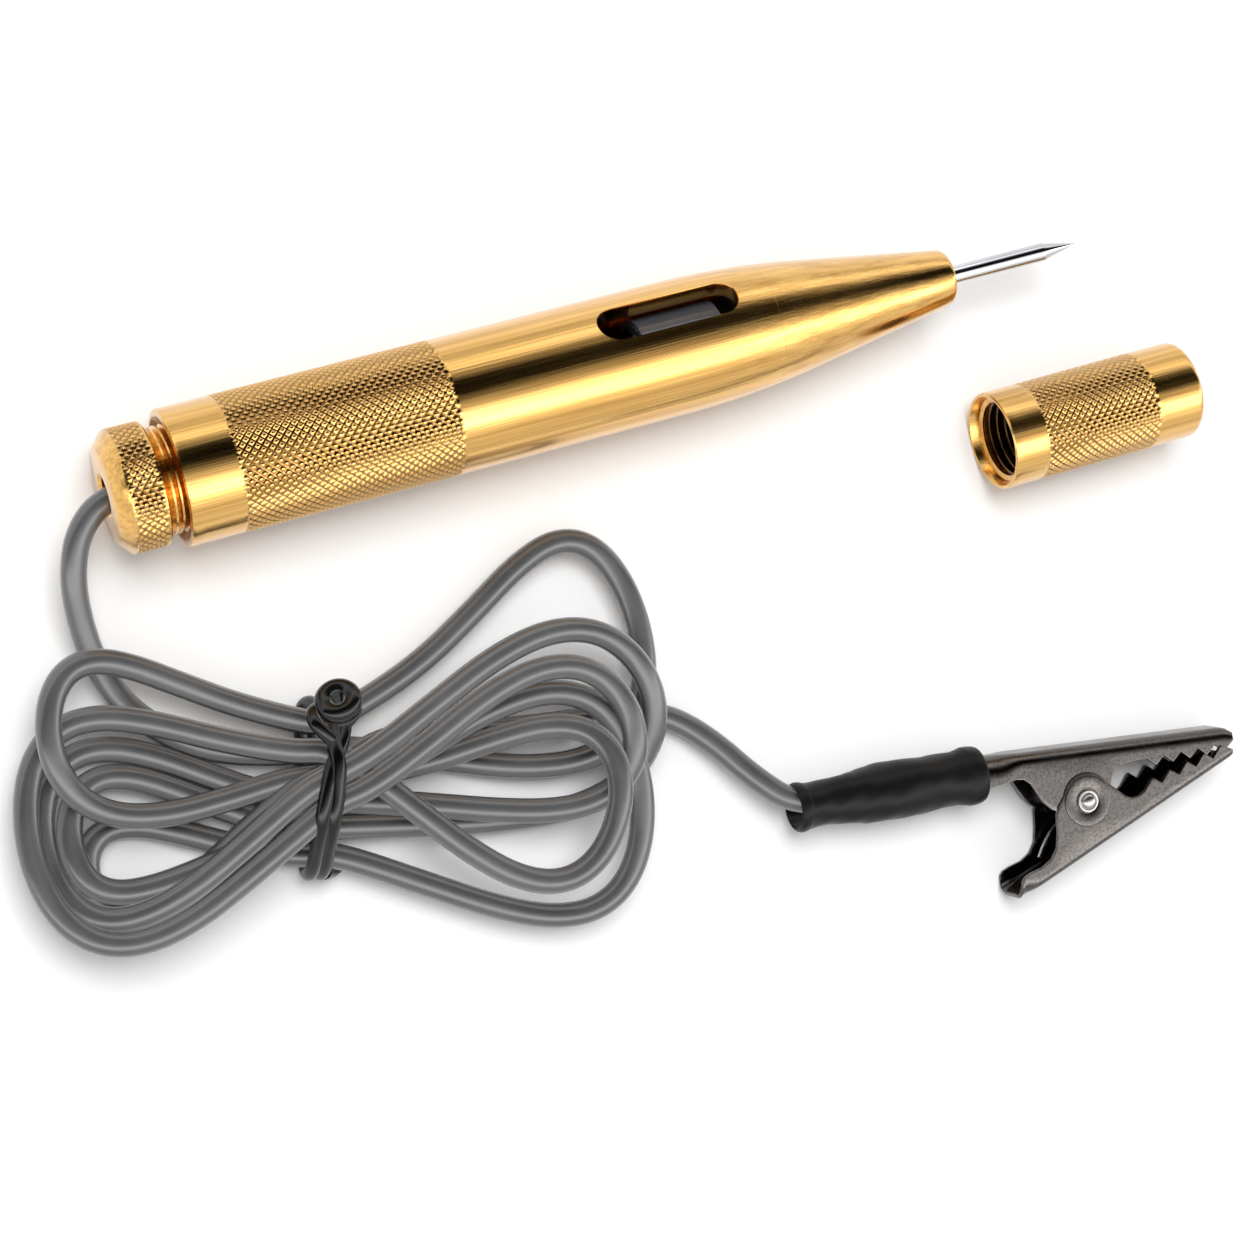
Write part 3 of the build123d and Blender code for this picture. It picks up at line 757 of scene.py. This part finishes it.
def make_tie():
    """A doubled strap, twisted once under its head, round the bundle."""
    strands = []
    for number, sign in ((1, 1), (2, -1)):
        points = []
        for index, (across, height) in enumerate(tie_loop):
            twist = smooth((index - 0.5) / 2.5)
            side = -0.62 * sign * cos(pi * twist)
            out = 0.5 * sign * sin(pi * twist)
            lean = 1.7 * max(0.0, 1 - index / 4) + 1.7 * max(0.0, (index - 15) / 4)
            points.append(band_point(across, side + lean, height + out))
        strands.append(add(f"tie_strand_{number}", wire("tie_strand", points, STRAND_R),
                           "cord_set", ["tie_band"], TIE_BLACK))
    hook = [(-9.0, 1.0, 3.3), (-9.2, 2.0, 1.6), (-8.4, 3.2, 1.05), (-7.0, 3.0, 0.92), (-6.4, 1.6, 0.9)]
    loop = [(5.6, 0.6, 9.9), (6.8, -0.9, 10.3), (8.2, -1.5, 9.4), (9.0, -0.6, 8.0), (8.6, 0.9, 7.4)]
    for name, places, radius in (("tie_tail", hook, TAIL_R), ("tie_loop_end", loop, LOOP_END_R)):
        points = [band_point(*place) for place in places]
        strands.append(add(name, wire(name, points, radius), "cord_set", [], TIE_BLACK))
    return strands


HEAD_PLACE, HEAD_AXIS = (18.5, -29.0, 7.2), Vector((-0.2, 0.6, 0.77)).normalized()


def turned_about(name, profile, ring, origin, axis, wobble=None):
    """Mesh of a closed (height, radius) outline turned about any axis from any point."""
    side = axis.orthogonal().normalized()
    other = axis.cross(side)
    points = []
    for height, radius in profile:
        for index in range(ring):
            angle = 2 * pi * index / ring
            r = radius + (wobble(height, radius, angle) if wobble else 0)
            points.append(origin + (axis * height + (side * cos(angle) + other * sin(angle)) * r) * MM)
    return mesh_from(name, points, ring_faces(len(profile), ring), 45.0)


def make_head():
    """The tie's bead: a neck, a collar and a rounded ring with a hole down its middle."""
    profile = [(-0.6, 0.5), (-0.6, 1.5), (0.5, 1.55), (0.75, 2.0)]
    profile += arc((1.15, 1.85), 0.45, 160, 20, 6)
    profile += [(1.62, 1.95)]
    profile += arc((2.95, 1.5), 1.1, 150, 0, 12)
    profile += arc((3.4, 1.15), 0.42, -20, -100, 5)
    profile += [(2.9, 0.62), (1.2, 0.55)]
    mesh = turned_about("tie_bead", profile, 48, bench(*HEAD_PLACE), HEAD_AXIS)
    return add("tie_bead", mesh, "cord_set", ["tie_head"], TIE_BLACK)


tie_pieces = [*make_tie(), make_head()]

# ------------------------------------------------------------------ crocodile clip
CLIP_YAW, CLIP_PITCH, CLIP_TILT = radians(-8.46), radians(-1.0), radians(3.0)
RIVET = (101.9, -63.15, 3.5)
clip_x = Vector((cos(CLIP_YAW) * cos(CLIP_PITCH), sin(CLIP_YAW) * cos(CLIP_PITCH), sin(CLIP_PITCH)))
clip_side = Vector((0, 0, 1)).cross(clip_x).normalized()
clip_normal = clip_x.cross(clip_side) * cos(CLIP_TILT) - clip_side * sin(CLIP_TILT)
clip_y = clip_normal.cross(clip_x)


def clip_point(u, v, w=0.0):
    """A point of the clip: towards its nose, up its side plates, and out of them, from the rivet."""
    return bench(*RIVET) + (clip_x * u + clip_y * v + clip_normal * w) * MM


# thickness of the jaws' sheet, the rounding of its edges, and half the width of each jaw
SHEET, SHEET_EDGE = 0.45, 0.1
UPPER_HALF, LOWER_HALF = 2.45, 3.05


def tooth_row(start, end, count, crest, root):
    """Points of a row of triangular teeth along a jaw's edge."""
    points = []
    for index in range(count):
        for part, side in ((0.0, root), (0.5, crest)):
            along = (index + part) / count
            base = start[1] + (end[1] - start[1]) * along
            points.append((start[0] + (end[0] - start[0]) * along, base + side))
    return points


# edges of the jaws' side plates, from the tail to the nose
upper_edge = [
    (-14.2, 3.2), (-12.5, 3.2), (-10.6, 3.4), (-9.0, 3.75), (-7.9, 3.6), (-7.0, 2.9), (-6.3, 1.7),
    (-5.6, 0.55), (-4.7, -0.35), (-3.7, -0.85),
    *arc((0, 0), 3.05, 197, 372, 18),
    (3.3, 1.5), (3.6, 2.4), (4.2, 3.2), (5.0, 3.7), (6.4, 3.85), (8.0, 3.9),
    *tooth_row((8.4, 3.9), (20.0, 4.35), 5, -1.0, 0.0), (20.25, 4.5),
]
lower_edge = [
    (-9.3, -8.3), (-8.9, -7.75), (-8.0, -7.35), (-6.4, -6.9), (-5.2, -6.1), (-4.45, -4.9), (-4.2, -3.2),
    (-4.15, -1.2), (-3.9, -0.2), (-3.4, 0.5),
    *arc((0, 0.3), 3.1, 168, 32, 14),
    (3.6, 1.15), (5.0, -0.05), (5.9, -0.45), (7.0, -0.3),
    *tooth_row((7.7, 0.1), (19.6, 3.3), 5, 1.15, 0.0), (20.0, 3.45),
]


def channel(name, edge, spine, half, bend, inward):
    """A jaw: two flat side plates that bend round into a spine. inward is +1 if the plates lie above
    the spine in the clip's plane, -1 if they hang below it."""
    even = steps(edge[0][0], edge[-1][0], 60)
    stations = sorted({round(u, 3) for u in [*even, *(u for u, _ in edge)]})
    edge_u, edge_v = [p[0] for p in edge], [p[1] for p in edge]
    spine_u, spine_v = [p[0] for p in spine], [p[1] for p in spine]
    rows = []
    for u in stations:
        tip = float(np.interp(u, edge_u, edge_v))
        back = float(np.interp(u, spine_u, spine_v))
        radius = min(bend(u), max(0.12, abs(back - tip) * 0.8), half * 0.95)
        side = [(tip + (back + inward * radius - tip) * q, half) for q in (0, 0.12, 0.4, 0.75, 1.0)]
        corner = [(back + inward * radius * (1 - sin(a)), half - radius * (1 - cos(a)))
                  for a in steps(0, pi / 2, 6)[1:]]
        flat = [(back, (half - radius) * q) for q in (0.5, 0.0)]
        near = side + corner + flat
        row = near + [(v, -w) for v, w in reversed(near[:-1])]
        rows.append([clip_point(u, v, w) for v, w in row])
    count = len(rows[0])
    points = [p for row in rows for p in row]
    faces = []
    for row in range(len(rows) - 1):
        for index in range(count - 1):
            a = row * count + index
            faces.append((a, a + 1, a + count + 1, a + count))
    mesh = bpy.data.meshes.new(name)
    mesh.from_pydata([tuple(p) for p in points], [], faces)
    return mesh


def thicken(piece):
    """Give sheet its thickness and a fine rounded edge."""
    solid = piece.modifiers.new("sheet", "SOLIDIFY")
    solid.thickness = SHEET * MM
    solid.offset = -1
    solid.use_even_offset = True
    edge = piece.modifiers.new("edge", "BEVEL")
    edge.width = SHEET_EDGE * MM
    edge.segments = 2
    edge.limit_method = "ANGLE"
    edge.angle_limit = radians(50)
    apply_modifiers(piece, 40.0)


def upper_bend(u):
    """Radius of the upper jaw's spine, rounder towards the crimp."""
    return 1.05 + 1.0 * smooth((-8.0 - u) / 3.0)


def lower_bend(u):
    """Radius of the lower jaw's spine, rounder towards the thumb tab."""
    return 1.0 + 1.5 * smooth((-6.5 - u) / 3.5)


# outline of the round boss pressed into each ear, open in the middle for the rivet head
EAR_RING = [(0.0, 1.5), (0.0, 3.02), (0.1, 3.02), (0.16, 2.96), (0.18, 2.86), (0.18, 1.62), (0.12, 1.5)]


def make_clip():
    """The clip but its spring: a list of its pieces without the lower jaw, then the lower jaw."""
    upper_spine = [(-14.2, 6.3), (19.3, 5.6), (20.0, 5.35), (20.35, 4.85)]
    upper = add("clip_top_jaw", channel("clip_top_jaw", upper_edge, upper_spine, UPPER_HALF, upper_bend, -1),
                "cord_set", ["clip_upper_jaw"], CLIP_STEEL)
    thicken(upper)
    lower_spine = [(-9.3, -10.37), (19.6, 2.28), (20.1, 2.75)]
    lower = add("clip_bottom_jaw",
                channel("clip_bottom_jaw", lower_edge, lower_spine, LOWER_HALF, lower_bend, 1),
                "clip_jaw", ["clip_lower_jaw"], CLIP_STEEL)
    thicken(lower)
    pieces = [upper]
    barrel_profile = [(0, 1.45), (0, 1.95), (0.3, 2.1), (15.0, 2.1), (17.5, 2.0), (17.6, 1.9), (17.6, 1.5)]
    crimp = turned_about("clip_crimp", barrel_profile, 40, clip_point(-31.0, 4.15), clip_x)
    pieces.append(add("clip_crimp", crimp, "cord_set", [], CLIP_STEEL))
    pin = turned_about("clip_pin", [(-3.1, 0.02), (-3.1, 0.88), (3.1, 0.88), (3.1, 0.02)], 40,
                       clip_point(0, 0), clip_normal)
    pieces.append(add("clip_pin", pin, "cord_set", ["clip_rivet"], RIVET_STEEL))
    for sign in (1, -1):
        face = sign * (LOWER_HALF - 0.02)
        tag = "near" if sign > 0 else "far"
        dome = [(0.08, 1.35), (0.2, 1.28), (0.24, 1.1), (0.2, 1.0), (0.26, 0.94)]
        dome += [(0.24 + 0.62 * cos(a), 0.92 * sin(a)) for a in steps(radians(84), radians(3), 10)]
        if sign < 0:
            dome = [(p[0] * 0.5, p[1]) for p in dome]
        profile = [(0.0, 0.01), (0.0, 1.3), *dome, (dome[-1][0], 0.01)]
        head = turned_about(f"clip_rivet_head_{tag}", profile, 56, clip_point(0, 0, face + sign * 0.04),
                            clip_normal * sign)
        pieces.append(add(f"clip_rivet_head_{tag}", head, "cord_set", [], RIVET_STEEL))
        ear = turned_about(f"clip_ear_{tag}", EAR_RING, 64, clip_point(0, 0, face), clip_normal * sign)
        pieces.append(add(f"clip_ear_{tag}", ear, "clip_jaw", [], CLIP_STEEL))
    return pieces, lower


clip_pieces, lower_jaw = make_clip()


POINTS_A_TURN = 12


def make_contact_spring():
    """The long spring between the bulb and the rear contact."""
    start, end, radius, turns = 16.0, 57.0, 2.95, 14
    count = turns * POINTS_A_TURN
    points = []
    for index in range(count + 1):
        angle = 2 * pi * turns * index / count
        station = start + (end - start) * index / count
        y = radius * cos(angle) / cos(pi / POINTS_A_TURN)
        z = radius * sin(angle) / cos(pi / POINTS_A_TURN)
        points.append(bench(station, y, BARREL_R + z))
    add("contact_coil", wire("contact_coil", points, 0.4, resolution=4, sides=3), "cord_set",
        ["contact_spring"], SPRING_STEEL)


make_contact_spring()

def make_clip_spring():
    """The clip's torsion spring: a leg and coil that stay with the upper jaw, a leg that turns with
    the lower jaw."""
    radius, half, first, turns, count = 1.75, 1.25, radians(120), 4.4, 53
    points = [clip_point(-6.8, 4.9, half), clip_point(-4.2, 3.2, half)]
    for index in range(count + 1):
        angle = first + 2 * pi * turns * index / count
        points.append(clip_point(radius * cos(angle), radius * sin(angle), half - 2 * half * index / count))
    wound = add("clip_torsion_spring", wire("clip_torsion_spring", points, 0.3, resolution=4, sides=3),
                "cord_set", ["clip_spring"], SPRING_STEEL)
    last = first + 2 * pi * turns
    leg = [clip_point(radius * cos(last - q), radius * sin(last - q), -1.75) for q in (1.2, 0.6, 0.0)]
    leg += [clip_point(-3.2, -4.0, -1.6), clip_point(-4.6, -6.6, -1.4)]
    return [wound, add("clip_spring_leg", wire("clip_spring_leg", leg, 0.3, resolution=4, sides=3),
                       "clip_jaw", [], SPRING_STEEL)]


clip_pieces += make_clip_spring()

# ------------------------------------------------------------------ clip sleeve
SLEEVE_START, SLEEVE_END = (-36.0, 3.95), (-12.5, 4.6)
SLEEVE_LENGTH = 23.6


def make_sleeve():
    """A shrunk rubber sleeve: lipped narrow end, swollen middle, collar over the clip's neck."""
    shape = [(0.0, 2.5), (0.15, 2.75), (0.5, 2.9), (1.0, 2.88), (1.5, 2.72), (2.4, 2.64), (4.0, 2.62),
             (6.0, 2.72), (7.5, 2.9), (9.0, 3.18), (11.0, 3.38), (13.0, 3.45), (15.0, 3.4), (17.0, 3.25),
             (19.0, 3.12), (20.4, 3.06), (21.2, 3.2), (21.8, 3.38), (22.6, 3.42), (23.2, 3.36),
             (23.5, 3.22), (23.6, 3.05)]
    fine = []
    for (h0, r0), (h1, r1) in zip(shape, shape[1:]):
        fine += [(h0 + (h1 - h0) * q / 3, r0 + (r1 - r0) * smooth(q / 3)) for q in range(3)]
    fine.append(shape[-1])
    inner = [(23.5, 2.75), (22.5, 2.6), (20.0, 2.35), (6.0, 2.2), (2.0, 2.15), (0.6, 2.2), (0.1, 2.35)]

    def wobble(height, radius, angle):
        """Slight unevenness of the outside, none at the ends or in the bore."""
        if radius < 2.5 and height > 0.3:
            return 0
        swell = 0.07 * sin(2 * angle + 0.45 * height) + 0.05 * sin(3 * angle - 0.8 * height + 1.0)
        swell += 0.03 * sin(5 * angle + 1.7 * height)
        return swell * smooth(height / 3) * smooth((SLEEVE_LENGTH - height) / 2)

    start = clip_point(*SLEEVE_START)
    axis = (clip_point(*SLEEVE_END) - start).normalized()
    mesh = turned_about("sleeve", fine + inner, 72, start, axis, wobble)
    return add("sleeve", mesh, "cord_set", ["clip_sleeve"], SLEEVE_RUBBER)


sleeve = make_sleeve()


# ------------------------------------------------------------------ floor, light
# half the floor's width, its shade, the strength of the even tent, and the key lamp's size and power
FLOOR_REACH, FLOOR_SHADE = 2.0, (0.93, 0.93, 0.93, 1.0)
TENT = 0.65
KEY_SIZE, KEY_POWER = 0.5, 5.6
# brightness of the reflected tent by angle across the tester: 0 is level beyond it, 90 overhead
BANDS = [(0, 0.75), (12, 0.9), (20, 1.4), (28, 1.9), (36, 0.9), (45, 0.22), (53, 0.0), (76, 0.0), (86, 0.3),
         (97, 0.85), (107, 1.7), (116, 4.0), (128, 4.0), (140, 1.7), (152, 1.0), (180, 0.95)]
BRIGHTEST = 4.0


def make_stage():
    """A matt near-white floor."""
    ground = bpy.data.meshes.new("floor")
    reach = FLOOR_REACH
    ground.from_pydata([(-reach, -reach, 0), (reach, -reach, 0), (reach, reach, 0), (-reach, reach, 0)],
                       [], [(0, 1, 2, 3)])
    floor = bpy.data.objects.new("floor", ground)
    bpy.context.scene.collection.objects.link(floor)
    m = Nodes("floor")
    m.set(Base_Color=FLOOR_SHADE, Roughness=0.9, Specular_IOR_Level=0.0)
    ground.materials.append(m.material)


def make_key():
    """A wide soft lamp overhead, leaning from beyond the tester, that reflections do not show."""
    place, target = Vector((-0.05, 0.28, 0.84)), Vector((0, -0.02, 0))
    data = bpy.data.lights.new("key", "AREA")
    data.shape = "SQUARE"
    data.size = KEY_SIZE
    data.energy = KEY_POWER
    lamp = bpy.data.objects.new("key", data)
    bpy.context.scene.collection.objects.link(lamp)
    lamp.location = place
    lamp.rotation_euler = (target - place).to_track_quat("-Z", "Y").to_euler()
    lamp.visible_glossy = False


def make_world():
    """A studio tent: even for soft light, banded by the angle across the tester for reflections."""
    world = bpy.data.worlds.new("studio")
    bpy.context.scene.world = world
    world.use_nodes = True
    tree = world.node_tree
    tent = tree.nodes["Background"]
    tent.inputs["Color"].default_value = (1.0, 1.0, 1.0, 1.0)
    tent.inputs["Strength"].default_value = TENT
    where = tree.nodes.new("ShaderNodeTexCoord")
    parts = tree.nodes.new("ShaderNodeSeparateXYZ")
    tree.links.new(where.outputs["Generated"], parts.inputs["Vector"])
    angle = tree.nodes.new("ShaderNodeMath")
    angle.operation = "ARCTAN2"
    tree.links.new(parts.outputs["Z"], angle.inputs[0])
    tree.links.new(parts.outputs["Y"], angle.inputs[1])
    turn = tree.nodes.new("ShaderNodeMath")
    turn.operation = "DIVIDE"
    turn.inputs[1].default_value = pi
    tree.links.new(angle.outputs[0], turn.inputs[0])
    ramp = tree.nodes.new("ShaderNodeValToRGB")
    ramp.color_ramp.interpolation = "EASE"
    elements = ramp.color_ramp.elements
    elements.remove(elements[1])
    elements[0].position = 0.0
    elements[0].color = (*[BANDS[0][1] / BRIGHTEST] * 3, 1.0)
    for degrees, value in BANDS[1:]:
        element = elements.new(degrees / 180)
        element.color = (*[value / BRIGHTEST] * 3, 1.0)
    tree.links.new(turn.outputs[0], ramp.inputs["Fac"])
    bands = tree.nodes.new("ShaderNodeBackground")
    bands.inputs["Strength"].default_value = BRIGHTEST
    tree.links.new(ramp.outputs["Color"], bands.inputs["Color"])
    ray = tree.nodes.new("ShaderNodeLightPath")
    mixed = tree.nodes.new("ShaderNodeMixShader")
    tree.links.new(ray.outputs["Is Glossy Ray"], mixed.inputs["Fac"])
    tree.links.new(tent.outputs[0], mixed.inputs[1])
    tree.links.new(bands.outputs[0], mixed.inputs[2])
    tree.links.new(mixed.outputs[0], tree.nodes["World Output"].inputs["Surface"])


def hide_from_reflections(pieces):
    """Keep pieces out of reflections, because the photo's brass shows no cord, sleeve or tie."""
    for piece in pieces:
        piece.visible_glossy = False


make_key()
hide_from_reflections([cord, sleeve, *tie_pieces])
make_stage()
make_world()
scene = bpy.context.scene
scene.view_settings.view_transform = "Standard"
scene.view_settings.look = "None"
